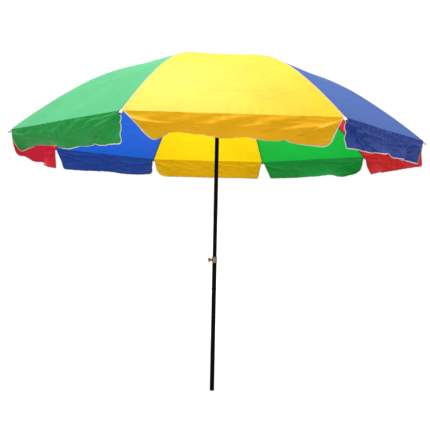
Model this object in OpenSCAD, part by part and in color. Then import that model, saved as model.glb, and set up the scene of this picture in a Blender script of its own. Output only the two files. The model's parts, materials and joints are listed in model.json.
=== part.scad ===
// Beach umbrella: eight-rib folding canopy with valance flaps, on a two-piece pole with a clamp collar.
// Millimetres. Z is up, the origin is the middle of the foot's underside, the front panel faces -Y.

/* [Canopy] */
// Distance from the pole's axis to a rib's tip pivot
tip_r = 1200; // [1160:5:1240]
// Height of the rib pivots at the crown
crown_z = 2036; // [2000:2:2070]
// Drop of the valance flaps below the hem
flap_drop = 130; // [90:5:160]
// Thickness of the panel cloth
cloth_t = 1.0; // [0.8:0.1:1.2]

/* [Frame] */
// Diameter of the rib rods
rib_d = 5; // [4.6:0.1:5.4]
// Diameter of the stretcher rods
stretcher_d = 4.5; // [4.2:0.1:4.8]
// Distance from the pole's axis to the stretcher brackets along the ribs
bracket_r = 530; // [500:5:560]
// Diameter of the pivot wires
wire_d = 2.5; // [2.2:0.1:2.6]

/* [Pole] */
// Outside diameter of the upper tube
upper_d = 25; // [24:0.5:25]
// Outside diameter of the lower tube
lower_d = 28; // [28:0.5:29]
// Height of the collar's lower edge
collar_z = 804; // [790:2:830]
// Height of the stop rivet that the upper tube rests on
rivet_z = 642; // [600:2:700]
// Height of the insertion mark above the foot
mark_z = 400; // [350:10:450]
// Radius of the clamp screw's knob
knob_r = 13; // [10:0.5:14]

/* [Hidden] */
$fn = 48;
n_ribs = 8;
step_a = 360 / n_ribs;
wall = 1.2;
hinge_r = 28;
eye_t = 3.2;
slot_w = 4.2;
run_gap = 0.05;
wire_gap = 0.09;
rod_step = 0.3;
slope_a = 4;
slope_b = 34.1;
len_a = 176;
arc_b = 1326;
arc_c = 3329;
r_a = hinge_r + len_a * cos(slope_a);
z_a = crown_z - len_a * sin(slope_a);
function rb(t) = r_a + arc_b * (sin(t) - sin(slope_a));
function zb(t) = z_a - arc_b * (cos(slope_a) - cos(t));
function rc(t) = rb(slope_b) + arc_c * (sin(t) - sin(slope_b));
function zc(t) = zb(slope_b) - arc_c * (cos(slope_b) - cos(t));
slope_c = asin(sin(slope_b) + (tip_r - rb(slope_b)) / arc_c);
slope_j = asin(sin(slope_a) + (bracket_r - r_a) / arc_b);
pin_drop = 9;
sj_r = rb(slope_j) - pin_drop * sin(slope_j);
sj_z = zb(slope_j) - pin_drop * cos(slope_j);
arm = sqrt(pow(sj_r - hinge_r, 2) + pow(crown_z - sj_z, 2));
dip = atan2(crown_z - sj_z, sj_r - hinge_r);
runner_z = crown_z - 2 * (crown_z - sj_z);
flex_gap = 14;
slope_f = slope_j + flex_gap / arc_b * 180 / PI;
pin_d = 2.5;
lift = 4.1;
bell_r = 23.4;
tube_r = upper_d / 2;
foot_r = lower_d / 2;
collar_h = 38;
clamp_z = collar_z + 18;
top_in = 2.5;
black = [0.05, 0.05, 0.055];
steel = [0.62, 0.63, 0.65];
brass = [0.66, 0.55, 0.42];
plastic = [0.09, 0.09, 0.10];
yellow = [0.98, 0.78, 0.10];
green = [0.05, 0.50, 0.25];
red = [0.80, 0.10, 0.17];
blue = [0.12, 0.28, 0.68];
tints = [yellow, blue, red, green];

// Turn to rib k, with X outwards along it
module at_rib(k) {
  rotate([0, 0, -112.5 + step_a * k]) children();
}

// Turn to panel k, with X outwards along its middle
module at_panel(k) {
  rotate([0, 0, -90 + step_a * k]) children();
}

// A round pin or bore along the rib's tangent
module cross(r, x, z, w) {
  translate([x, 0, z]) rotate([90, 0, 0]) cylinder(r = r, h = w, center = true);
}

// A plate of thickness w in the rib's own plane
module plate(w) {
  rotate([90, 0, 0]) linear_extrude(w, center = true) children();
}

// Stand at slope t of the first arc, X along the rod and Z out of the canopy
module on_b(t) {
  translate([rb(t), 0, zb(t)]) rotate([0, t, 0]) children();
}

// Rod bent to radius big about (cx, cz), between slopes t0 and t1
module bent(big, cx, cz, t0, t1, d) {
  translate([cx, 0, cz]) rotate([90, 0, 0]) rotate([0, 0, 90 - t1])
    rotate_extrude(angle = t1 - t0) translate([big, 0]) circle(d = d);
}

// Middle of the rod, of its nominal diameter
module bent_b(t0, t1) {
  bent(arc_b, r_a - arc_b * sin(slope_a), z_a - arc_b * cos(slope_a), t0, t1, rib_d);
}

// Tip end of the rod, one step thinner
module bent_c(t0, t1) {
  cx = rb(slope_b) - arc_c * sin(slope_b);
  cz = zb(slope_b) - arc_c * cos(slope_b);
  bent(arc_c, cx, cz, t0, t1, rib_d - rod_step);
}

// Closed ring of wire on which eight eyes turn
module wire_ring(z) {
  translate([0, 0, z]) rotate_extrude() translate([hinge_r, 0]) circle(d = wire_d);
}

// Groove cut round a notched disc for its wire
module wire_groove(z) {
  h = wire_d + 2 * run_gap;
  translate([0, 0, z - h / 2]) difference() {
    cylinder(r = 40, h = h);
    translate([0, 0, -1]) cylinder(r = hinge_r - h / 2, h = h + 2);
  }
}

// Lower tube of the pole, with the stop rivet's holes and the clamp screw's hole
module lower_pole() color(black) difference() {
  translate([0, 0, 4]) cylinder(r = foot_r, h = collar_z + collar_h - 8);
  translate([0, 0, 3]) cylinder(r = foot_r - wall, h = collar_z + collar_h);
  translate([0, 0, rivet_z]) rotate([0, 90, 0]) cylinder(r = 2.55, h = 60, center = true);
  translate([0, 0, clamp_z]) rotate([0, -90, 0]) cylinder(r = 3.2, h = 30);
  translate([0, 0, mark_z]) difference() {
    cylinder(r = foot_r + 5, h = 2);
    translate([0, 0, -1]) cylinder(r = foot_r - 0.3, h = 4);
  }
}

// Plug that closes the foot of the lower tube
module foot_plug() color(plastic) difference() {
  union() {
    cylinder(r = foot_r, h = 4);
    translate([0, 0, 3]) cylinder(r = foot_r - wall - 0.05, h = 37);
  }
  translate([0, 0, 6]) cylinder(r = foot_r - wall - 2.4, h = 40);
}

// Turned collar on the lower tube's mouth, with the boss for the clamp screw
module pole_collar() color(brass) difference() {
  union() {
    translate([0, 0, collar_z]) rotate_extrude() difference() {
      union() {
        translate([0, 3]) square([foot_r + 2, collar_h - 6]);
        square([foot_r - 1, collar_h]);
        translate([foot_r - 1, 3]) circle(r = 3);
        translate([foot_r - 1, collar_h - 3]) circle(r = 3);
      }
      translate([-20, -5]) square([20, collar_h + 10]);
    }
    translate([0, 0, clamp_z]) rotate([0, -90, 0]) cylinder(r = 8, h = foot_r + 9);
  }
  translate([0, 0, collar_z - 1]) cylinder(r = foot_r + 0.05, h = collar_h - 2.9);
  translate([0, 0, collar_z]) cylinder(r = tube_r + 0.3, h = collar_h + 5);
  translate([0, 0, clamp_z]) rotate([0, -90, 0]) cylinder(r = 3 + run_gap, h = 60);
}

// Rivet through the lower tube that stops the upper tube
module stop_rivet() color(steel) translate([0, 0, rivet_z]) rotate([0, 90, 0]) {
  cylinder(r = 2.5, h = 2 * foot_r + 0.4, center = true);
  for (s = [0, 180]) rotate([s, 0, 0]) translate([0, 0, foot_r + 0.05]) cylinder(r1 = 4, r2 = 2.4, h = 1.6);
}

// Thumb screw that clamps the upper tube
module clamp_screw() color(brass) translate([0, 0, clamp_z]) rotate([0, -90, 0]) difference() {
  union() {
    translate([0, 0, tube_r + 0.05]) cylinder(r = 3, h = foot_r + 12 - tube_r);
    translate([0, 0, foot_r + 9.3]) cylinder(r = 6.5, h = 3);
    translate([0, 0, foot_r + 11]) cylinder(r1 = knob_r - 1.5, r2 = knob_r, h = 1.5);
    translate([0, 0, foot_r + 12.5]) cylinder(r = knob_r, h = 11.5);
    translate([0, 0, foot_r + 24]) cylinder(r1 = knob_r, r2 = knob_r - 3, h = 3);
  }
  for (a = [0:30:359]) rotate([0, 0, a]) translate([knob_r + 1.2, 0, foot_r + 10]) cylinder(r = 2, h = 20);
}

// Upper tube of the pole, with the slot of the runner's catch
module upper_pole() color(black) difference() {
  translate([0, 0, rivet_z + 2.6]) cylinder(r = tube_r, h = crown_z + top_in - rivet_z - 2.6);
  translate([0, 0, rivet_z]) cylinder(r = tube_r - wall, h = 2000);
  translate([-2.5, 4, runner_z - 128]) cube([5, 20, 50]);
}

// Leaf spring in the tube whose nose holds the runner up
module runner_catch() color(steel) translate([0, 0, runner_z - 78.6]) plate_yz(3.2) {
  polygon([
    [tube_r + 4, 0], [tube_r + 4, -2], [tube_r - 1.4, -40], [tube_r - 1.4, -64], [tube_r - 2.4, -64],
    [tube_r - 2.4, -39.8], [tube_r + 2.6, -2.4], [tube_r + 2.6, -1.2], [tube_r - 3, -1.2], [tube_r - 3, 0]
  ]);
}

// A plate of thickness w in the YZ plane
module plate_yz(w) {
  rotate([90, 0, 90]) linear_extrude(w, center = true) children();
}

// Notched head at the top of the tube, where the ribs turn
module crown() color(plastic) difference() {
  union() {
    translate([0, 0, crown_z - 9]) cylinder(r = 31.5, h = 14.5);
    translate([0, 0, crown_z + 5.5]) cylinder(r1 = 31.5, r2 = 30, h = 1.5);
    translate([0, 0, crown_z - 34]) cylinder(r = 16.5, h = 30);
  }
  translate([0, 0, crown_z - 40]) cylinder(r = tube_r + 0.05, h = 40 + top_in + 0.1);
  translate([0, 0, crown_z - 1]) cylinder(r = 5.05, h = 20);
  for (k = [0:n_ribs - 1])
    at_rib(k) translate([bell_r, -slot_w / 2, crown_z - 20]) cube([30, slot_w, 24.4]);
  wire_groove(crown_z);
}

module crown_pivot_wire() color(steel) wire_ring(crown_z);

// Cap that clamps the cloth to the crown
module finial() color(plastic) translate([0, 0, crown_z]) {
  translate([0, 0, -14]) cylinder(r = 5, h = 30);
  translate([0, 0, 9]) cylinder(r = 24, h = 2.5);
  translate([0, 0, 11.5]) cylinder(r1 = 24, r2 = 10, h = 9);
  translate([0, 0, 20.5]) cylinder(r1 = 10, r2 = 7.5, h = 12);
  translate([0, 0, 30]) cylinder(r = 7.5, h = 26.5);
  translate([0, 0, 56.5]) sphere(r = 8.5);
}

// Sliding collar that carries the stretchers
module runner() color(plastic) translate([0, 0, runner_z]) difference() {
  union() {
    translate([0, 0, -7]) cylinder(r = 31.5, h = 16);
    translate([0, 0, -60]) cylinder(r = 17, h = 60);
    translate([0, 0, -12]) cylinder(r1 = 17, r2 = 27, h = 5);
    translate([0, 0, -78]) cylinder(r = 21, h = 7);
    translate([0, 0, -71]) cylinder(r1 = 21, r2 = 17, h = 12);
  }
  translate([0, 0, -80]) cylinder(r = tube_r + 0.1, h = 100);
  for (k = [0:n_ribs - 1])
    at_rib(k) translate([bell_r, -slot_w / 2, -4.4]) cube([30, slot_w, 30]);
  wire_groove(0);
}

module runner_pivot_wire() color(steel) wire_ring(runner_z);

// Rib from the crown to its bracket, with the bracket and its two rivets
module rib(k) color(steel) at_rib(k) difference() {
  union() {
    cross(3.8, hinge_r, crown_z, eye_t);
    translate([hinge_r, 0, crown_z]) rotate([0, slope_a, 0]) {
      translate([1, -eye_t / 2, -2.5]) cube([17, eye_t, 5]);
      translate([15, 0, 0]) rotate([0, 90, 0]) cylinder(d = rib_d + rod_step, h = len_a - 15);
    }
    bent_b(slope_a - 0.2, slope_j - 0.5);
    on_b(slope_j) {
      translate([-34, 0, 0.1]) rotate([0, 90, 0]) cylinder(r = 3.2, h = 24);
      for (s = [-1, 1]) translate([0, s * (slot_w / 2 + 0.7), 0]) {
        plate(1.4) {
          polygon([[-16, -3], [-16, 3], [-10, 3.2], [flex_gap, 3.2], [flex_gap, -3.2], [3, -pin_drop], [-4, -pin_drop]]);
          translate([0, -pin_drop]) circle(r = 4);
          translate([flex_gap, 0]) circle(r = 3.3);
        }
      }
      cross(pin_d / 2, 0, -pin_drop, slot_w + 4.4);
    }
    cross(pin_d / 2, rb(slope_f), zb(slope_f), slot_w + 4.4);
  }
  cross(wire_d / 2 + wire_gap, hinge_r, crown_z, 20);
}

// Sprung end of a rib, from the bracket to the tip
module rib_end(k) color(steel) at_rib(k) difference() {
  union() {
    on_b(slope_f) {
      cross(3.1, 0, 0, eye_t);
      translate([0, -eye_t / 2, -2.2]) cube([16, eye_t, 4.4]);
    }
    bent_b(slope_f + 10 / arc_b * 180 / PI, slope_b);
    bent_c(slope_b - 0.1, slope_c - 12 / arc_c * 180 / PI);
    translate([rc(slope_c), 0, zc(slope_c)]) rotate([0, slope_c, 0]) {
      translate([-16, -1.5, -2.2]) cube([16, 3, 4.4]);
      cross(3, 0, 0, 3);
    }
  }
  on_b(slope_f) cross(pin_d / 2 + run_gap, 0, 0, 20);
  cross(pin_d / 2 + run_gap, rc(slope_c), zc(slope_c), 20);
}

// Strut from the runner to the rib's bracket
module stretcher(k) color(steel) at_rib(k) difference() {
  translate([hinge_r, 0, runner_z]) rotate([0, -dip, 0]) {
    cross(3.8, 0, 0, eye_t);
    translate([0, -eye_t / 2, -2.2]) cube([18, eye_t, 4.4]);
    translate([15, 0, 0]) rotate([0, 90, 0]) cylinder(d = stretcher_d, h = arm - 27);
    translate([arm - 15, -eye_t / 2, -2.2]) cube([15, eye_t, 4.4]);
    cross(3.4, arm, 0, eye_t);
  }
  cross(wire_d / 2 + wire_gap, hinge_r, runner_z, 20);
  cross(pin_d / 2 + run_gap, sj_r, sj_z, 20);
}

// Forked cap on the end of a rib, with its pin
module tip(k) color(plastic) at_rib(k) translate([rc(slope_c), 0, zc(slope_c)]) rotate([0, slope_c, 0]) {
  for (s = [-1, 1]) translate([0, s * 2.6, 0]) plate(1.6) {
    circle(r = 4);
    translate([0, -4]) square([6, 8]);
  }
  translate([3.6, -3.4, -4]) cube([5, 6.8, 8]);
  translate([8, 0, 0]) rotate([0, 90, 0]) cylinder(r1 = 4.6, r2 = 3.4, h = 4);
  translate([11, 0, 0]) sphere(r = 3.7);
  cross(pin_d / 2, 0, 0, 7.6);
}

// Height profile of the cloth over a rib: [radius, height of the underside]
n_b = 12;
n_c = 7;
last_c = slope_c - 6 / arc_c * 180 / PI;
cloth_line = concat(
  [[9, crown_z + 7.5], [33, crown_z + 7.5], [80, crown_z - 52 * sin(slope_a) + lift + 0.6]],
  [for (i = [0:n_b - 1]) let (t = slope_a + (slope_b - slope_a) * i / n_b)
    [rb(t) + lift * sin(t), zb(t) + lift * cos(t)]],
  [for (i = [0:n_c]) let (t = slope_b + (last_c - slope_b) * i / n_c)
    [rc(t) + lift * sin(t), zc(t) + lift * cos(t)]]
);
n_l = len(cloth_line);
hem_r = cloth_line[n_l - 1][0];
hem_z = cloth_line[n_l - 1][1];

// One gore of cloth between two ribs, straight across and bent along them
module panel(k) color(tints[k % 4]) at_panel(k) {
  up = cloth_t * 1.2;
  half = 180 / n_ribs;
  pts = [for (p = cloth_line) for (u = [0, up]) for (s = [-1, 1])
    [p[0] * cos(half), s * (p[0] * sin(half) - 0.2), p[1] + u]];
  n = n_l - 1;
  faces = concat(
    [for (i = [0:n - 1]) [4 * i, 4 * i + 4, 4 * i + 5, 4 * i + 1]],
    [for (i = [0:n - 1]) [4 * i + 2, 4 * i + 3, 4 * i + 7, 4 * i + 6]],
    [for (i = [0:n - 1]) [4 * i, 4 * i + 2, 4 * i + 6, 4 * i + 4]],
    [for (i = [0:n - 1]) [4 * i + 1, 4 * i + 5, 4 * i + 7, 4 * i + 3]],
    [[0, 1, 3, 2], [4 * n, 4 * n + 2, 4 * n + 3, 4 * n + 1]]
  );
  polyhedron(pts, faces);
}

// Flap that hangs from the hem of a gore
module valance(k) color(tints[k % 4]) at_panel(k) {
  w = hem_r * sin(180 / n_ribs);
  translate([hem_r * cos(180 / n_ribs) - cloth_t, 0, hem_z - 0.3]) plate_yz(cloth_t) {
    translate([-w + 12, -flap_drop + 26]) square([2 * w - 24, flap_drop - 26]);
    translate([-w + 44, -flap_drop]) square([2 * w - 88, 30]);
    for (s = [-1, 1]) translate([s * (w - 44), -flap_drop + 30]) circle(r = 30);
  }
}

module rib_1() rib(0);
module rib_2() rib(1);
module rib_3() rib(2);
module rib_4() rib(3);
module rib_5() rib(4);
module rib_6() rib(5);
module rib_7() rib(6);
module rib_8() rib(7);

module rib_end_1() rib_end(0);
module rib_end_2() rib_end(1);
module rib_end_3() rib_end(2);
module rib_end_4() rib_end(3);
module rib_end_5() rib_end(4);
module rib_end_6() rib_end(5);
module rib_end_7() rib_end(6);
module rib_end_8() rib_end(7);

module stretcher_1() stretcher(0);
module stretcher_2() stretcher(1);
module stretcher_3() stretcher(2);
module stretcher_4() stretcher(3);
module stretcher_5() stretcher(4);
module stretcher_6() stretcher(5);
module stretcher_7() stretcher(6);
module stretcher_8() stretcher(7);

module tip_1() tip(0);
module tip_2() tip(1);
module tip_3() tip(2);
module tip_4() tip(3);
module tip_5() tip(4);
module tip_6() tip(5);
module tip_7() tip(6);
module tip_8() tip(7);

module panel_1() panel(0);
module panel_2() panel(1);
module panel_3() panel(2);
module panel_4() panel(3);
module panel_5() panel(4);
module panel_6() panel(5);
module panel_7() panel(6);
module panel_8() panel(7);

module valance_1() valance(0);
module valance_2() valance(1);
module valance_3() valance(2);
module valance_4() valance(3);
module valance_5() valance(4);
module valance_6() valance(5);
module valance_7() valance(6);
module valance_8() valance(7);

// Every node of the assembly
// The node to draw, or all of them

lower_pole();
foot_plug();
pole_collar();
stop_rivet();
clamp_screw();
upper_pole();
runner_catch();
crown();
crown_pivot_wire();
finial();
runner();
runner_pivot_wire();
rib_1();
rib_2();
rib_3();
rib_4();
rib_5();
rib_6();
rib_7();
rib_8();
rib_end_1();
rib_end_2();
rib_end_3();
rib_end_4();
rib_end_5();
rib_end_6();
rib_end_7();
rib_end_8();
stretcher_1();
stretcher_2();
stretcher_3();
stretcher_4();
stretcher_5();
stretcher_6();
stretcher_7();
stretcher_8();
tip_1();
tip_2();
tip_3();
tip_4();
tip_5();
tip_6();
tip_7();
tip_8();
panel_1();
panel_2();
panel_3();
panel_4();
panel_5();
panel_6();
panel_7();
panel_8();
valance_1();
valance_2();
valance_3();
valance_4();
valance_5();
valance_6();
valance_7();
valance_8();
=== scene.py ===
import json
import math

import bpy
import numpy as np
from mathutils import Matrix, Vector


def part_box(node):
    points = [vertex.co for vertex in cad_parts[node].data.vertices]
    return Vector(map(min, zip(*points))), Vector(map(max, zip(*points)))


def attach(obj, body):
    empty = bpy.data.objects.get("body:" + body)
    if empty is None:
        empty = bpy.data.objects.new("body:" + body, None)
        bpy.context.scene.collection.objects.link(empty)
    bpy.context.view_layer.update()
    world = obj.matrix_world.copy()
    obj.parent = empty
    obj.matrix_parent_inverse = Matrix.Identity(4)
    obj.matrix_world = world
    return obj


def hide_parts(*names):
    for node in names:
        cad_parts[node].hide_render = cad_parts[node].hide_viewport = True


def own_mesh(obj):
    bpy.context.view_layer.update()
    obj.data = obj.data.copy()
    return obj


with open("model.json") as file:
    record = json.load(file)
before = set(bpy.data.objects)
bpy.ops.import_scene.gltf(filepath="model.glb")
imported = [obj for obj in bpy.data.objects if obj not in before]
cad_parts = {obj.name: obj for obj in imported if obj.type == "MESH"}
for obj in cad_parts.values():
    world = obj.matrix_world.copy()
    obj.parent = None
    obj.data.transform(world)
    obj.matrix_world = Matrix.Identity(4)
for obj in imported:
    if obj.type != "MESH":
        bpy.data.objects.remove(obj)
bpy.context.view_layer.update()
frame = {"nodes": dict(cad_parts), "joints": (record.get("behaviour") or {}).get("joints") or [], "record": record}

# ---------------------------------------------------------------- the frame

RIBS = 8
HALF = math.pi / RIBS                       # half the angle between two ribs
FIRST_RIB = math.radians(-112.5)            # azimuth of rib 1
TINTS = ["yellow", "blue", "red", "green"]  # panel 1 onwards, anticlockwise
JOINTS = {j["name"]: j for j in frame["joints"]}
UP = np.array([0, 0, 1.0])


def rib_angle(k):
    return FIRST_RIB + 2 * HALF * k


def panel_angle(k):
    return rib_angle(k) + HALF


def pivot(joint):
    """(radius, height) of a joint of rib 1, in metres."""
    x, y, z = JOINTS[joint]["pos_m"]
    return math.hypot(x, y), z


HUB = pivot("canopy_fold")
KNUCKLE = pivot("rib_1_flex")
TIP = pivot("tip_1_hang")


def cad_profile():
    """Radius and mid height of the CAD cloth along a rib, from the hub to the hem."""
    co = np.array([v.co for v in frame["nodes"]["panel_1"].data.vertices])
    r = np.hypot(co[:, 0], co[:, 1])
    rows = []
    for key in sorted(set(np.round(r, 4))):
        same = np.abs(r - key) < 2e-4
        rows.append((r[same].mean(), (co[same, 2].min() + co[same, 2].max()) / 2))
    merged = [rows[0]]
    for row in rows[1:]:
        if row[0] - merged[-1][0] > 1e-3:
            merged.append(row)
    return np.array(merged).T


PROFILE_R, PROFILE_Z = cad_profile()
HEM_R = float(PROFILE_R[-1])


def slopes_of(x, y):
    """Tangents for a smooth curve through points."""
    d = np.diff(y) / np.diff(x)
    h = np.diff(x)
    m = np.empty_like(y)
    m[1:-1] = (d[:-1] * h[1:] + d[1:] * h[:-1]) / (h[:-1] + h[1:])
    m[0], m[-1] = d[0], d[-1]
    return m


PROFILE_M = slopes_of(PROFILE_R, PROFILE_Z)


def height(r):
    """Height of the cloth over a rib, and its slope, at radius r."""
    r = np.asarray(r, float)
    i = np.clip(np.searchsorted(PROFILE_R, r) - 1, 0, len(PROFILE_R) - 2)
    h = PROFILE_R[i + 1] - PROFILE_R[i]
    t = (r - PROFILE_R[i]) / h
    a, b = PROFILE_Z[i], PROFILE_Z[i + 1]
    p, q = PROFILE_M[i] * h, PROFILE_M[i + 1] * h
    z = ((2 * t**3 - 3 * t**2 + 1) * a + (t**3 - 2 * t**2 + t) * p
         + (3 * t**2 - 2 * t**3) * b + (t**3 - t**2) * q)
    dz = ((6 * t**2 - 6 * t) * (a - b) + (3 * t**2 - 4 * t + 1) * p + (3 * t**2 - 2 * t) * q) / h
    return z, dz


# ---------------------------------------------------------------- materials

def nodes_of(name):
    mat = bpy.data.materials.new(name)
    mat.use_nodes = True
    tree = mat.node_tree
    tree.nodes.clear()
    out = tree.nodes.new("ShaderNodeOutputMaterial")
    return mat, tree, out


def put(tree, kind, **values):
    """A node with some of its inputs and settings set by name."""
    node = tree.nodes.new(kind)
    for key, value in values.items():
        label = key.replace("_", " ")
        hit = [s for s in node.inputs if s.name.lower() == label.lower()]
        if hit:
            hit[0].default_value = value
        else:
            setattr(node, key, value)
    return node


def ramp(tree, fac, stops):
    node = tree.nodes.new("ShaderNodeValToRGB")
    while len(node.color_ramp.elements) < len(stops):
        node.color_ramp.elements.new(0.5)
    for e, (pos, col) in zip(node.color_ramp.elements, stops):
        e.position = pos
        e.color = (*col, 1)
    tree.links.new(fac, node.inputs["Fac"])
    return node.outputs["Color"]


def bump(tree, height_socket, strength, distance, normal=None):
    node = put(tree, "ShaderNodeBump", strength=strength, distance=distance)
    tree.links.new(height_socket, node.inputs["Height"])
    if normal:
        tree.links.new(normal, node.inputs["Normal"])
    return node.outputs["Normal"]


def srgb(r, g, b):
    return tuple(c / 12.92 if c <= 0.04045 else ((c + 0.055) / 1.055) ** 2.4
                 for c in (r / 255, g / 255, b / 255))


def noise(tree, vector, scale, detail=3.0, rough=0.5):
    node = put(tree, "ShaderNodeTexNoise", scale=scale, detail=detail, roughness=rough)
    tree.links.new(vector, node.inputs["Vector"])
    return node.outputs["Fac"]


def scaled(colour, share, lift=0.0):
    """A colour made darker or paler, no channel over 1."""
    return tuple(min(1.0, c * share + lift) for c in colour)


def threads(t, uv):
    """Plain weave: warp and weft bands multiplied."""
    mul = put(t, "ShaderNodeMath", operation="MULTIPLY")
    for i, way in enumerate("XY"):
        band = put(t, "ShaderNodeTexWave", wave_type="BANDS", bands_direction=way, scale=WEAVE,
                   distortion=0.0)
        t.links.new(uv, band.inputs["Vector"])
        t.links.new(band.outputs["Fac"], mul.inputs[i])
    return mul.outputs[0]


def stitches(t):
    """Grey line STITCH_IN inside each sewn edge, white elsewhere."""
    far = put(t, "ShaderNodeMath", operation="MULTIPLY")
    far.inputs[1].default_value = 1 / STITCH_SPAN
    t.links.new(put(t, "ShaderNodeAttribute", attribute_name="hem").outputs["Fac"], far.inputs[0])
    line = STITCH_IN / STITCH_SPAN
    white, grey = (1, 1, 1), (0.72, 0.72, 0.72)
    return ramp(t, far.outputs[0], [(line - 0.05, white), (line, grey), (line + 0.05, white)])


def cloth_material(name, outside, inside, glow, through, gloss):
    """Thin coated nylon: plain weave, slight dye variation, stitched edges, light through from behind.

    The outside colour is paler than the dye, a painted sheen (most of all on the canopy); the inside keeps its
    dye.
    """
    mat, t, out = nodes_of(name)
    uv = put(t, "ShaderNodeUVMap", uv_map="metric").outputs["UV"]
    tc = put(t, "ShaderNodeTexCoord").outputs["Object"]
    fade = noise(t, tc, 3.6, 9.0, 0.68)

    def tone_varied(body):
        return ramp(t, fade, [(0.30, scaled(body, 0.84)), (0.70, scaled(body, 1.10, 0.004))])

    sides = put(t, "ShaderNodeMix", data_type="RGBA")
    t.links.new(put(t, "ShaderNodeNewGeometry").outputs["Backfacing"], sides.inputs[0])
    # the outside colour carries a painted sheen, most of all on the canopy; the inside colour is the dye
    t.links.new(tone_varied(outside), sides.inputs[6])
    t.links.new(tone_varied(inside), sides.inputs[7])
    stitch = stitches(t)
    colour = put(t, "ShaderNodeMix", data_type="RGBA", blend_type="MULTIPLY")
    colour.inputs[0].default_value = 1.0
    t.links.new(sides.outputs[2], colour.inputs[6])
    t.links.new(stitch, colour.inputs[7])

    crushed = bump(t, noise(t, tc, 34.0, 5.0, 0.62), 0.32, 0.004)
    woven = bump(t, threads(t, uv), 0.10, 0.0004, crushed)
    normal = bump(t, stitch, 0.5, 0.0008, woven)
    bsdf = put(t, "ShaderNodeBsdfPrincipled", roughness=0.46)
    bsdf.inputs["Sheen Weight"].default_value = 0.02
    bsdf.inputs["Sheen Roughness"].default_value = 0.4
    bsdf.inputs["Specular IOR Level"].default_value = gloss
    t.links.new(colour.outputs[2], bsdf.inputs["Base Color"])
    t.links.new(normal, bsdf.inputs["Normal"])
    lit = put(t, "ShaderNodeBsdfTranslucent")
    t.links.new(ramp(t, fade, [(0.30, scaled(glow, 0.92)), (0.72, glow)]), lit.inputs["Color"])
    t.links.new(normal, lit.inputs["Normal"])
    mix = put(t, "ShaderNodeMixShader")
    mix.inputs["Fac"].default_value = through
    t.links.new(bsdf.outputs[0], mix.inputs[1])
    t.links.new(lit.outputs[0], mix.inputs[2])
    t.links.new(mix.outputs[0], out.inputs["Surface"])
    return mat


def coated(name, base, rough, metal=0.0, grain=60.0, depth=0.0004, spread=0.25, shine=0.5):
    """Paint, plastic or metal, with grain in its colour, roughness and relief."""
    mat, t, out = nodes_of(name)
    tc = put(t, "ShaderNodeTexCoord").outputs["Object"]
    f = noise(t, tc, grain, 6.0, 0.6)
    g = noise(t, tc, grain * 7, 3.0, 0.5)
    colour = ramp(t, f, [(0.25, scaled(base, 1 - spread)), (0.75, scaled(base, 1 + spread))])
    r = ramp(t, f, [(0.2, (rough * 0.82,) * 3), (0.8, (min(1.0, rough * 1.2),) * 3)])
    bsdf = put(t, "ShaderNodeBsdfPrincipled", metallic=metal)
    bsdf.inputs["Specular IOR Level"].default_value = shine
    t.links.new(colour, bsdf.inputs["Base Color"])
    t.links.new(r, bsdf.inputs["Roughness"])
    t.links.new(bump(t, g, 0.25, depth), bsdf.inputs["Normal"])
    t.links.new(bsdf.outputs[0], out.inputs["Surface"])
    return mat


WEAVE = 420.0          # scale of the wave texture, over UVs in metres
STITCH_IN = 0.007      # metres from a sewn edge to its stitches
STITCH_SPAN = 0.014    # metres that the stitches' ramp covers
# colour outside (on the canopy paled by a painted sheen), inside and with light through it, share of light
# through, gloss
CANOPY_DYES_AND_SHEEN = {
    "yellow": ((250, 202, 18), (250, 200, 4), (255, 224, 0), 0.45, 0.22),
    "blue": ((54, 92, 164), (16, 52, 140), (18, 98, 218), 0.45, 0.36),
    "red": ((214, 30, 44), (205, 12, 30), (240, 24, 44), 0.45, 0.30),
    "green": ((84, 180, 130), (4, 140, 50), (0, 205, 62), 0.45, 0.32),
}
# the flaps hang in their own shade; their outside colours keep nearly the plain dye, with little of the canopy's
# painted sheen
FLAP_DYES = {
    "yellow": ((255, 186, 4), (255, 190, 0), (255, 208, 0), 0.40, 0.24),
    "blue": ((18, 52, 140), (22, 56, 142), (34, 92, 205), 0.36, 0.34),
    "red": ((212, 20, 40), (205, 14, 34), (240, 28, 48), 0.45, 0.26),
    "green": ((20, 148, 66), (12, 134, 54), (10, 182, 70), 0.38, 0.34),
}


def cloths(prefix, dye_sheen_table):
    """One cloth material for each tint."""
    return {tint: cloth_material(f"{prefix}_{tint}", srgb(*outside), srgb(*inside), srgb(*glow),
                                 through, gloss)
            for tint, (outside, inside, glow, through, gloss) in dye_sheen_table.items()}


CANOPY = cloths("canopy", CANOPY_DYES_AND_SHEEN)
FLAP_CLOTH = cloths("flap", FLAP_DYES)
PIPING = coated("piping_white", srgb(222, 214, 208), 0.6, grain=300.0, depth=0.0003, spread=0.06)
# the seam tape is white; its grey-beige colour here is painted shade
SEAM_TAPE_PAINTED_SHADE = coated("seam_tape_painted_shade", srgb(188, 180, 160), 0.6, grain=300.0, depth=0.0003, spread=0.08)
PAINT = {
    "pole_black": coated("pole_black", srgb(7, 7, 7), 0.45, grain=40.0, shine=0.07),
    "collar_brass": coated("collar_brass", srgb(159, 138, 113), 0.36, metal=0.75, grain=90.0),
    "bright_steel": coated("bright_steel", srgb(170, 172, 176), 0.3, metal=1.0, grain=140.0),
    "frame_steel": coated("frame_steel", srgb(66, 68, 72), 0.38, metal=0.4, grain=120.0),
    "plastic_black": coated("plastic_black", srgb(24, 24, 26), 0.5, grain=110.0),
    "plastic_grey": coated("plastic_grey", srgb(140, 144, 150), 0.5, grain=110.0),
}
SLOTS = {s["node"]: s["material_slot"] for s in frame["record"]["subparts"]}
for node, obj in frame["nodes"].items():
    if SLOTS[node] in PAINT:
        obj.data.materials.clear()
        obj.data.materials.append(PAINT[SLOTS[node]])

# ---------------------------------------------------------------- cloth

rng = np.random.default_rng(8)


def axes(angle):
    return (np.array([math.cos(angle), math.sin(angle), 0.0]),
            np.array([-math.sin(angle), math.cos(angle), 0.0]))


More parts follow.
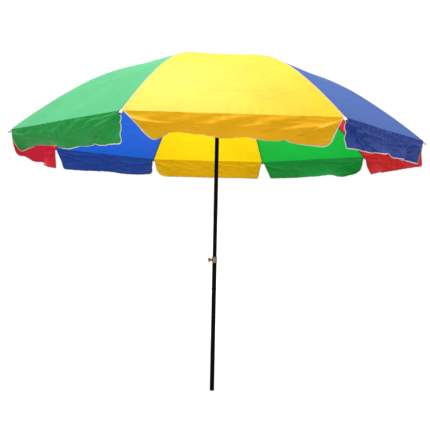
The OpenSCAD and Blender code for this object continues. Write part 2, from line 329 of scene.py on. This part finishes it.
def ripple_set(count, low, high):
    """Fixed random waves: two wave numbers, a phase and a share each."""
    return [(rng.uniform(low, high), rng.uniform(low, high), rng.uniform(0, 6.28), rng.uniform(0.5, 1.0))
            for _ in range(count)]


def crease_set(count, wide, tall, tilt, size, reach):
    """Fixed random creases: a middle, a direction, a width, a half length and a share each."""
    return [(rng.uniform(-wide, wide), rng.uniform(0, tall), rng.normal(0, tilt), rng.uniform(*size),
             rng.uniform(*reach), rng.choice([-1.0, 1.0]) * rng.uniform(0.45, 1.0)) for _ in range(count)]


def creases(rows, y, d):
    """Sum of soft creases at (y, d), each about 1 high."""
    out = 0.0
    for y0, d0, tilt, size, reach, share in rows:
        a = (y - y0) * math.cos(tilt) + (d - d0) * math.sin(tilt)
        b = (d - d0) * math.cos(tilt) - (y - y0) * math.sin(tilt)
        b = b - 0.06 * a * a / reach
        out = out + share * np.exp(-(b / size) ** 2) * np.exp(-(a / reach) ** 4)
    return out


GORE_WAVES = [ripple_set(5, 2.0, 9.0) for _ in range(RIBS)]
GORE_CREASES = [crease_set(26, 0.42, 0.62, 0.30, (0.006, 0.013), (0.05, 0.22)) for _ in range(RIBS)]


# heights of the relief, then the pitch of its ripples, in metres
SAG = 0.004
WAVE = 0.0008
CREASE = 0.0019
PUCKER, PUCKER_PITCH = 0.0010, 0.036
HEM_RIPPLE, HEM_PITCH = 0.0008, 0.052


def relief(k, r, v):
    """How far gore k stands off its ruled surface, in metres."""
    y = v * r * math.sin(HALF)
    hold = np.clip(1 - np.abs(v) ** 3, 0, 1)
    out = -SAG * (1 - v**2) * np.sin(np.pi * np.clip(r / HEM_R, 0, 1) ** 1.5)
    for a, b, ph, w in GORE_WAVES[k]:
        out = out + WAVE * w * hold * np.sin(a * r + b * y * 2.2 + ph)
    edge = (1 - np.abs(v)) * r * math.sin(HALF)
    pucker = np.exp(-edge / 0.03) * np.clip(edge / 0.006, 0, 1)
    out = out + PUCKER * np.sin(r * 2 * np.pi / PUCKER_PITCH + 2.0 * np.sin(r * 9 + k)) * pucker
    hem = HEM_R - r
    out = out + CREASE * hold * creases(GORE_CREASES[k], y, hem) * np.clip(hem / 0.02, 0, 1)
    ripple = np.sin(y * 2 * np.pi / HEM_PITCH + 1.6 * np.sin(y * 11 + 2 * k))
    return out + HEM_RIPPLE * ripple * np.exp(-hem / 0.05) * hold


def gore(k, r, v):
    """Point of gore k at rib radius r and share v of the half width, -1 to 1."""
    out, side = axes(panel_angle(k))
    z, dz = height(r)
    lean = 1 / np.sqrt(1 + dz**2)
    d = relief(k, r, v)
    c = r * math.cos(HALF) - dz * lean * d
    y = v * r * math.sin(HALF)
    return c[..., None] * out + y[..., None] * side + (z + lean * d)[..., None] * UP


NUDGE = 1e-3   # parameter step that normals are measured over


def grid_quads(rows, cols):
    return [(a, a + cols, a + cols + 1, a + 1)
            for i in range(rows - 1) for a in range(i * cols, i * cols + cols - 1)]


def surface(fn, p, q):
    """Vertices, normals and quads of a grid over parameter rows p and columns q."""
    P, Q = np.meshgrid(p, q, indexing="ij")
    du = fn(P + NUDGE, Q) - fn(P - NUDGE, Q)
    dv = fn(P, Q + NUDGE) - fn(P, Q - NUDGE)
    n = np.cross(du, dv)
    n /= np.linalg.norm(n, axis=-1, keepdims=True)
    return fn(P, Q).reshape(-1, 3), n.reshape(-1, 3), grid_quads(*P.shape)


def faced(pts, nrm, quads, out):
    """Normals and windings turned so that most of the front faces the direction out."""
    q = np.array(quads)
    turn = np.cross(pts[q[:, 1]] - pts[q[:, 0]], pts[q[:, 2]] - pts[q[:, 0]])
    if (nrm @ out).sum() <= 0:
        nrm = -nrm
    if (turn @ out).sum() <= 0:
        quads = [f[::-1] for f in quads]
    return nrm, quads


def make(name, pts, normals, quads, uv, mats, hem=None):
    """A mesh object with metric UVs and its own normals.

    On cloth, hem is each point's distance from a sewn edge.
    """
    me = bpy.data.meshes.new(name)
    me.from_pydata([tuple(p) for p in pts], [], quads)
    me.polygons.foreach_set("use_smooth", [True] * len(quads))
    layer = me.uv_layers.new(name="metric")
    loops = np.empty(len(me.loops), int)
    me.loops.foreach_get("vertex_index", loops)
    layer.data.foreach_set("uv", np.asarray(uv, float)[loops].reshape(-1))
    for m in mats:
        me.materials.append(m)
    if hem is not None:
        distance = me.attributes.new("hem", "FLOAT", "POINT")
        distance.data.foreach_set("value", np.asarray(hem, float).ravel())
    me.update()
    if normals is not None:
        me.normals_split_custom_set_from_vertices([tuple(n) for n in normals])
    obj = bpy.data.objects.new(name, me)
    bpy.context.scene.collection.objects.link(obj)
    return obj


GORE_START = 0.030   # radius at which the gores begin, under the finial

# ---------------------------------------------------------------- seam tape over each rib

TAPE_HALF = 0.0021   # half the tape's width
TAPE_RISE = 0.0010   # its middle's height over the cloth


def tape(k, r, q):
    """Point of the tape over rib k at radius r, q from -1 to 1 across."""
    out, tan = axes(rib_angle(k))
    y = q * TAPE_HALF
    z, dz = height(r)
    lean = 1 / np.sqrt(1 + dz**2)
    off = TAPE_RISE - 0.0006 * q**4 + 0.0002 * np.sin(r * 420)
    c = r - dz * lean * off
    top = z + lean * off + dz * math.tan(HALF) * np.abs(y)
    return c[..., None] * out + y[..., None] * tan + top[..., None] * UP


def make_tapes():
    """The tapes by rib and part: each is in two lengths, which meet at the rib's flex."""
    tapes = {}
    for k in range(RIBS):
        for part, rows, body in (("in", np.linspace(GORE_START, KNUCKLE[0], 70), f"rib_{k + 1}"),
                                 ("out", np.linspace(KNUCKLE[0], HEM_R + 0.002, 110), f"rib_end_{k + 1}")):
            q = np.linspace(-1, 1, 7)
            pts, nrm, quads = surface(lambda a, b: tape(k, a, b), rows, q)
            nrm, quads = faced(pts, nrm, quads, UP)
            R, Q = np.meshgrid(rows, q, indexing="ij")
            uv = np.stack([(Q * TAPE_HALF).ravel(), R.ravel()], 1)
            tapes[k, part] = make(f"tape_{k + 1}_{part}", pts, nrm, quads, uv, [SEAM_TAPE_PAINTED_SHADE])
            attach(tapes[k, part], body)
    return tapes


# ---------------------------------------------------------------- gores

def along(p, q):
    """Unit vector in the rib plane from p to q, as (radial, up)."""
    d = np.array(q) - np.array(p)
    return d / np.linalg.norm(d)


def halves(k):
    """The two halves of gore or flap k: which side of its middle, the rib it hangs on, and its letter."""
    return (-1, k, "a"), (1, (k + 1) % RIBS, "b")


COLS = 42            # columns of a half gore
HEM_SLANT = 1.3      # the same near the hem
MEAN_SLOPE = 0.5     # radians, for the weave's scale
# part, where it starts and ends, rows, body, lean of its rib, share kept when folded, anchor
GORE_PARTS = (
    ("in", GORE_START, KNUCKLE[0], 48, "rib", along(HUB, KNUCKLE), 0.12, HUB),
    ("out", KNUCKLE[0], HEM_R, 96, "rib_end", along(KNUCKLE, TIP), 0.09, TIP),
)


def make_gores(tapes):
    """Eight gores, each in two halves, and each half in two lengths that meet at the rib's flex."""
    for k in range(RIBS):
        tint = TINTS[k % len(TINTS)]
        for side, rib, half in halves(k):
            v = np.linspace(side, 0, COLS)
            for part, start, end, count, body, lean, keep, anchor in GORE_PARTS:
                rows = np.linspace(start, end, count)
                pts, nrm, quads = surface(lambda a, b: gore(k, a, b), rows, v)
                nrm, quads = faced(pts, nrm, quads, UP)
                R, V = np.meshgrid(rows, v, indexing="ij")
                uv = np.stack([(V * R * math.sin(HALF)).ravel(), R.ravel() / math.cos(MEAN_SLOPE)], 1)
                o = make(f"gore_{k + 1}_{half}_{part}", pts, nrm, quads, uv, [CANOPY[tint]],
                         hem=np.minimum((HEM_R - R) * HEM_SLANT, (1 - np.abs(V)) * R * math.sin(HALF)))
                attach(o, f"{body}_{rib + 1}")
                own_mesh(o)
                if part == "out":
                    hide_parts(f"panel_{k + 1}")


make_gores(make_tapes())

# ---------------------------------------------------------------- valances

FLAP_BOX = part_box("valance_1")
FLAP_DROP = FLAP_BOX[1].z - FLAP_BOX[0].z
HEM_Z, HEM_SLOPE = (float(v) for v in height(HEM_R))
HEM_LIFT = 1 / math.sqrt(1 + HEM_SLOPE**2)
HEM_HALF = HEM_R * math.sin(HALF)
HEM_C = HEM_R * math.cos(HALF)
DROP = FLAP_DROP * 1.02                 # the cloth's own length down a flap
CURL_AT = np.linspace(-0.39, 0.39, 7)   # where along the hem a flap's turns are set
CURL_WIDE = 0.10                        # reach of one turn along the hem


class Flap:
    """How one flap hangs: at each end, how far the corner is cut in and how round it is, then its turns.

    A turn is how many radians the lower part leans inwards there, at the seven places of CURL_AT. Crumple
    scales its wrinkles.
    """

    def __init__(self, cut_a, round_a, cut_b, round_b, drop, lean, turns, crumple=1.0):
        self.crumple = crumple
        self.cut = (cut_a, cut_b)
        self.round = (round_a, round_b)
        self.drop = drop
        self.lean = lean
        self.turns = turns
        self.waves = ripple_set(4, 5.0, 17.0)
        self.creases = crease_set(22, 0.42, DROP, 0.16, (0.004, 0.009), (0.06, 0.26))
        self.rays = [(end, rng.uniform(0.03, 0.30) + 0.13 * i, rng.uniform(0.005, 0.010),
                      rng.uniform(0.5, 1.0)) for end in (-1, 1) for i in range(4)]

    def half_width(self, d, end):
        """Half width at distance d down the flap, at end 0 (next to rib k) or 1."""
        w = HEM_HALF - 0.004 - self.cut[end] * np.maximum(d / self.drop, 0) ** 0.9
        r = self.round[end]
        dip = np.clip(d - (self.drop - r), 0, r)
        return w - (r - np.sqrt(np.maximum(r * r - dip * dip, 0)))

    def turn(self, h, y):
        """Angle of the cloth from straight down, towards the pole."""
        t = self.lean
        low = np.clip((h - 0.2) / 0.8, 0, 1) ** 1.1
        for at, by in zip(CURL_AT, self.turns):
            t = t + by * np.exp(-((y - at) / CURL_WIDE) ** 2) * low
        for a, b, ph, s in self.waves:
            t = t + 0.10 * s * np.sin(a * y * 2 + ph) * h * min(1.0, self.crumple)
        return t

    def folds(self, y, d):
        """Long shallow folds that run in from both ends of the hem."""
        out = 0.0
        for end, tilt, size, share in self.rays:
            run = HEM_HALF - end * y
            off = d - run * math.tan(tilt) - 0.02 * np.sin(run * 9 + 5 * tilt)
            reach = np.clip(run / 0.10, 0, 1) * np.exp(-(run / 0.42) ** 4)
            out = out + share * reach * np.exp(-(off / (size * (1 + 1.5 * run))) ** 2)
        return out


# One row a flap. The numbers were fitted to the flaps' outlines by a separate script, crumple apart.
FLAPS = [
    Flap(0.119, 0.043, 0.060, 0.026, 0.126, -0.112, [-0.55, 1.80, 1.55, 1.35, 0.87, 1.37, -0.11]),
    Flap(0.003, 0.007, 0.049, 0.003, 0.129, 0.069, [-0.28, -0.20, -0.66, -0.57, -0.34, 0.64, 0.05], 1.25),
    Flap(0.058, 0.021, 0.067, 0.003, 0.134, -0.078, [-0.28, -0.19, -0.30, 0.18, 0.03, -0.60, -0.30], 0.4),
    Flap(0.026, 0.059, 0.078, 0.015, 0.139, -0.100, [1.06, -0.34, -0.63, -0.57, -0.08, 0.03, 0.23], 0.7),
    Flap(0.030, 0.013, 0.037, 0.061, 0.140, -0.058, [0.15, -0.08, 0.05, -0.07, 0.09, 0.10, -0.22], 0.7),
    Flap(0.029, 0.055, 0.067, 0.017, 0.139, 0.058, [0.74, -0.09, 0.06, 0.10, 0.52, -0.30, -0.18], 0.7),
    Flap(0.000, 0.015, 0.008, 0.030, 0.139, 0.104, [-0.02, -0.86, 0.30, 0.41, -0.07, 0.37, 0.39], 0.3),
    Flap(0.004, 0.007, 0.014, 0.015, 0.133, 0.148, [1.17, 1.23, 0.99, 0.08, 0.45, 0.57, -0.24]),
]
STEPS_DOWN = 14          # steps that a flap's turn is added up in
TUCK = 0.003             # length of flap that lies just under the hem of the gore
FLAP_CREASE = 0.0036     # heights of its relief
FLAP_FOLD = 0.0085
FLAP_WAVE = 0.0018
EDGE_RIPPLE, EDGE_PITCH = 0.0012, 0.05


def flap(k, h, w):
    """Point of flap k at share h of its drop and share w of its half width."""
    f = FLAPS[k]
    out, side = axes(panel_angle(k))
    d = h * f.drop
    y = w * np.where(w < 0, f.half_width(d, 0), f.half_width(d, 1))
    inward, down = 0.0, 0.0
    for i in range(STEPS_DOWN):
        t = f.turn(h * (i + 0.5) / STEPS_DOWN, y)
        inward = inward + np.sin(t) * d / STEPS_DOWN
        down = down + np.cos(t) * d / STEPS_DOWN
    t = f.turn(h, y)
    fade = np.clip(h * 6, 0, 1) * f.crumple
    bend = (FLAP_CREASE * creases(f.creases, y, d) + FLAP_FOLD * f.folds(y, d)) * fade
    ripple = EDGE_RIPPLE * np.sin(y * 2 * np.pi / EDGE_PITCH + k)
    bend = bend + ripple * np.exp(-h * 5) * np.clip(h * 12, 0, 1)
    for a, b, ph, s in f.waves:
        bend = bend + FLAP_WAVE * s * fade * np.sin(a * y * 4 + b * d * 9 + ph)
    rise = HEM_LIFT * relief(k, HEM_R, np.clip(y / HEM_HALF, -1, 1))
    tuck = np.clip(1 - d / TUCK, 0, 1)
    c = HEM_C - HEM_SLOPE * rise - inward - 0.0022 * tuck + bend * np.cos(t)
    z = HEM_Z + rise - down + 0.0012 * tuck + bend * np.sin(t)
    return c[..., None] * out + y[..., None] * side + z[..., None] * UP


# the tape's outline across the edge: how far inside the edge, and how far off the cloth
BIND = [(0.0036, 0.0008), (0.0018, 0.0011), (0.0002, 0.0009), (-0.0007, 0.0), (0.0002, -0.0008),
        (0.0016, -0.0007)]


def binding(k, side):
    """White tape folded over the side and bottom edge of half a flap: rows along it, BIND across."""
    f, end = FLAPS[k], 0 if side < 0 else 1
    d = f.drop * np.sin(np.linspace(0.03, 1, 34) * math.pi / 2)
    edge = np.stack([side * f.half_width(d, end), d], 1)
    low = np.linspace(edge[-1, 0], 0, 62)[1:]
    edge = np.concatenate([edge, np.stack([low, np.full_like(low, f.drop)], 1)])
    run = np.gradient(edge, axis=0)
    run /= np.linalg.norm(run, axis=1, keepdims=True)
    inset = np.stack([-run[:, 1], run[:, 0]], 1) * side
    inset = np.where((inset @ np.array([-side, -0.5]) < 0)[:, None], -inset, inset)
    spots = [edge + inset * step for step, _ in BIND]
    y = np.stack([p[:, 0] for p in spots], 1)
    d = np.clip(np.stack([p[:, 1] for p in spots], 1), 1e-4, None)
    h, w = d / f.drop, y / f.half_width(d, end)
    n = np.cross(flap(k, h + NUDGE, w) - flap(k, h - NUDGE, w), flap(k, h, w + NUDGE) - flap(k, h, w - NUDGE))
    n /= np.linalg.norm(n, axis=-1, keepdims=True)
    out, _ = axes(panel_angle(k))
    n = n * np.sign((n[..., :2] @ out[:2]).mean())
    pts = flap(k, h, w) + n * np.array([b for _, b in BIND])[None, :, None]
    rows, cols = h.shape
    quads = [(i * cols + j, i * cols + j + 1, (i + 1) * cols + j + 1, (i + 1) * cols + j)
             for i in range(rows - 1) for j in range(cols - 1)]
    pts = pts.reshape(-1, 3)
    # the outer faces of the first columns say which way round they all go
    first = [q for q in quads if q[0] % cols == 0]
    turned = faced(pts, n.reshape(-1, 3), first, out)[1][0] != first[0]
    return pts, [q[::-1] for q in quads] if turned else quads, np.stack([y.ravel(), d.ravel()], 1)


def make_flaps():
    """Eight flaps, each in two halves with a binding."""
    for k in range(RIBS):
        tint = TINTS[k % len(TINTS)]
        for side, rib, half in halves(k):
            w = np.linspace(side, 0, 92)
            h = np.linspace(0, 1, 30)
            pts, nrm, quads = surface(lambda a, b: flap(k, a, b), h, w)
            nrm, quads = faced(pts, nrm, quads, axes(panel_angle(k))[0])
            H, W = np.meshgrid(h, w, indexing="ij")
            uv = np.stack([(W * HEM_HALF).ravel(), (H * DROP).ravel()], 1)
            o = make(f"flap_{k + 1}_{half}", pts, nrm, quads, uv, [FLAP_CLOTH[tint]],
                     hem=np.minimum((1 - H) * DROP, (1 - np.abs(W)) * HEM_HALF))
            pts, quads, uv = binding(k, side)
            tape_edge = make(f"binding_{k + 1}_{half}", pts, None, quads, uv, [PIPING])
            for piece in (o, tape_edge):
                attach(piece, f"tip_{rib + 1}")
                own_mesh(piece)
            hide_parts(f"valance_{k + 1}")


make_flaps()

# ---------------------------------------------------------------- pockets over the tips, patch on the crown

TIP_SLOPE = math.atan(HEM_SLOPE)
POCKET_R = 0.0066                       # radius of a pocket over its tip's pivot
POCKET_BACK, POCKET_FRONT = -0.009, 0.0125
POCKET_OPEN = 115                       # degrees from the top to its edges


def pocket(k, s, a):
    """Point of the pocket over tip k, at distance s past the pivot and angle a from the top."""
    out, tan = axes(rib_angle(k))
    run = math.cos(TIP_SLOPE) * out + math.sin(TIP_SLOPE) * UP
    top = -math.sin(TIP_SLOPE) * out + math.cos(TIP_SLOPE) * UP
    r = POCKET_R - 0.05 * np.abs(s) + 0.0002 * np.sin(a * 9 + k)
    base = TIP[0] * out + TIP[1] * UP
    return base + s[..., None] * run + (r * np.sin(a))[..., None] * tan + (r * np.cos(a))[..., None] * top


def make_pockets():
    """A pocket over each tip."""
    s = np.linspace(POCKET_BACK, POCKET_FRONT, 12)
    a = np.radians(np.linspace(-POCKET_OPEN, POCKET_OPEN, 19))
    S, A = np.meshgrid(s, a, indexing="ij")
    uv = np.stack([(A * 0.006).ravel(), S.ravel()], 1)
    for k in range(RIBS):
        pts, nrm, quads = surface(lambda p, q: pocket(k, p, q), s, a)
        nrm, quads = faced(pts, nrm, quads, UP)
        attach(make(f"pocket_{k + 1}", pts, nrm, quads, uv, [PIPING]), f"tip_{k + 1}")


PATCH_IN, PATCH_OUT = 0.012, 0.040      # radii of the patch
PATCH_RISE = 0.0032                     # its height over the cloth


def patch(r, a):
    """Point of the round patch over the crown."""
    at = np.clip(r, GORE_START, None)
    z, dz = height(at)
    z = z + (r - at) * dz + PATCH_RISE + 0.0004 * np.sin(a * RIBS)
    return r[..., None] * np.stack([np.cos(a), np.sin(a), 0 * a], -1) + z[..., None] * UP


def make_patch():
    """The patch between the finial and the gores' inner ends."""
    r = np.linspace(PATCH_IN, PATCH_OUT, 12)
    a = np.linspace(0, 2 * math.pi, 97)
    pts, nrm, quads = surface(patch, r, a)
    nrm, quads = faced(pts, nrm, quads, UP)
    R, A = np.meshgrid(r, a, indexing="ij")
    uv = np.stack([(R * np.cos(A)).ravel(), (R * np.sin(A)).ravel()], 1)
    o = make("crown_patch", pts, nrm, quads, uv, [CANOPY["yellow"]], hem=PATCH_OUT - R)
    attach(o, "upper_pole")


make_pockets()
make_patch()

# ---------------------------------------------------------------- camera, light and floor

LENS = 42.64            # mm on a 36 mm sensor
CAMERA_RANGE = 3.1906   # from the pole's axis, m
CAMERA_HEIGHT = 1.1603  # over the floor, m
CAMERA_SIDE = math.radians(3.615)   # to the left of straight in front
LOOK = math.radians(3.565)          # heading, clockwise from +Y
PITCH = -0.0178         # radians, negative is down
ROLL = 0.0204           # radians, lifts the camera's right side
FLOOR_HALF = 60.0       # m
FLOOR_DROP = 0.002      # under the foot, m
FLOOR_SEEN, FLOOR_GLOW = 0.74, 0.1   # what the floor gives the camera, and everything else
SKY_LOW, SKY_HIGH = 0.42, 1.15       # strength of the dome near the horizon and overhead


def set_camera():
    data = bpy.data.cameras.new("camera")
    data.lens = LENS
    data.sensor_width = 36.0
    cam = bpy.data.objects.new("camera", data)
    bpy.context.scene.collection.objects.link(cam)
    level_run = math.cos(PITCH)
    ahead = Vector((math.sin(LOOK) * level_run, math.cos(LOOK) * level_run, math.sin(PITCH)))
    level = Vector((math.cos(LOOK), -math.sin(LOOK), 0))
    up = level.cross(ahead)
    right = math.cos(ROLL) * level + math.sin(ROLL) * up
    top = right.cross(ahead)
    cam.matrix_world = Matrix((right, top, -ahead)).transposed().to_4x4()
    left, front = CAMERA_RANGE * math.sin(CAMERA_SIDE), CAMERA_RANGE * math.cos(CAMERA_SIDE)
    cam.location = (-left, -front, CAMERA_HEIGHT)
    bpy.context.scene.camera = cam


def for_camera(tree, seen, otherwise):
    """A strength that is one value for what the camera sees and another for the light given off."""
    path = put(tree, "ShaderNodeLightPath")
    node = put(tree, "ShaderNodeMapRange", to_min=otherwise, to_max=seen)
    tree.links.new(path.outputs["Is Camera Ray"], node.inputs["Value"])
    return node.outputs["Result"]


def floor():
    mat, t, out = nodes_of("floor_pale")
    bsdf = put(t, "ShaderNodeBsdfPrincipled", roughness=0.9)
    bsdf.inputs["Base Color"].default_value = (0.5, 0.5, 0.5, 1)
    bsdf.inputs["Specular IOR Level"].default_value = 0.1
    bsdf.inputs["Emission Color"].default_value = (1, 1, 1, 1)
    t.links.new(for_camera(t, FLOOR_SEEN, FLOOR_GLOW), bsdf.inputs["Emission Strength"])
    t.links.new(bsdf.outputs[0], out.inputs["Surface"])
    me = bpy.data.meshes.new("floor")
    s = FLOOR_HALF
    me.from_pydata([(-s, -s, 0), (s, -s, 0), (s, s, 0), (-s, s, 0)], [], [(0, 1, 2, 3)])
    me.materials.append(mat)
    o = bpy.data.objects.new("floor", me)
    o.location.z = -FLOOR_DROP
    bpy.context.scene.collection.objects.link(o)


def sky():
    """Even white to look at, and a soft dome, brightest overhead, to light by."""
    world = bpy.data.worlds.new("studio")
    world.use_nodes = True
    t = world.node_tree
    back = t.nodes["Background"]
    back.inputs["Color"].default_value = (1, 1, 1, 1)
    tc = put(t, "ShaderNodeTexCoord")
    sep = put(t, "ShaderNodeSeparateXYZ")
    t.links.new(tc.outputs["Generated"], sep.inputs[0])
    rise = put(t, "ShaderNodeMapRange", from_min=-0.1, from_max=0.9, to_min=SKY_LOW, to_max=SKY_HIGH)
    t.links.new(sep.outputs["Z"], rise.inputs["Value"])
    path = put(t, "ShaderNodeLightPath")
    mix = put(t, "ShaderNodeMix", data_type="FLOAT")
    t.links.new(path.outputs["Is Camera Ray"], mix.inputs["Factor"])
    t.links.new(rise.outputs["Result"], mix.inputs["A"])
    mix.inputs["B"].default_value = 1.0
    t.links.new(mix.outputs["Result"], back.inputs["Strength"])
    bpy.context.scene.world = world


def area(name, place, aim, size, watts):
    """A round soft light."""
    data = bpy.data.lights.new(name, "AREA")
    data.shape = "DISK"
    data.size = size
    data.energy = watts
    o = bpy.data.objects.new(name, data)
    o.location = place
    o.rotation_euler = (Vector(aim) - Vector(place)).to_track_quat("-Z", "Y").to_euler()
    bpy.context.scene.collection.objects.link(o)


set_camera()
floor()
sky()
area("key", (-2.2, -2.1, 6.0), (0, 0, 1.6), 2.6, 190)
area("top", (-0.5, 0.4, 6.3), (0, 0, 1.8), 3.0, 240)
bpy.context.scene.view_settings.view_transform = "Standard"
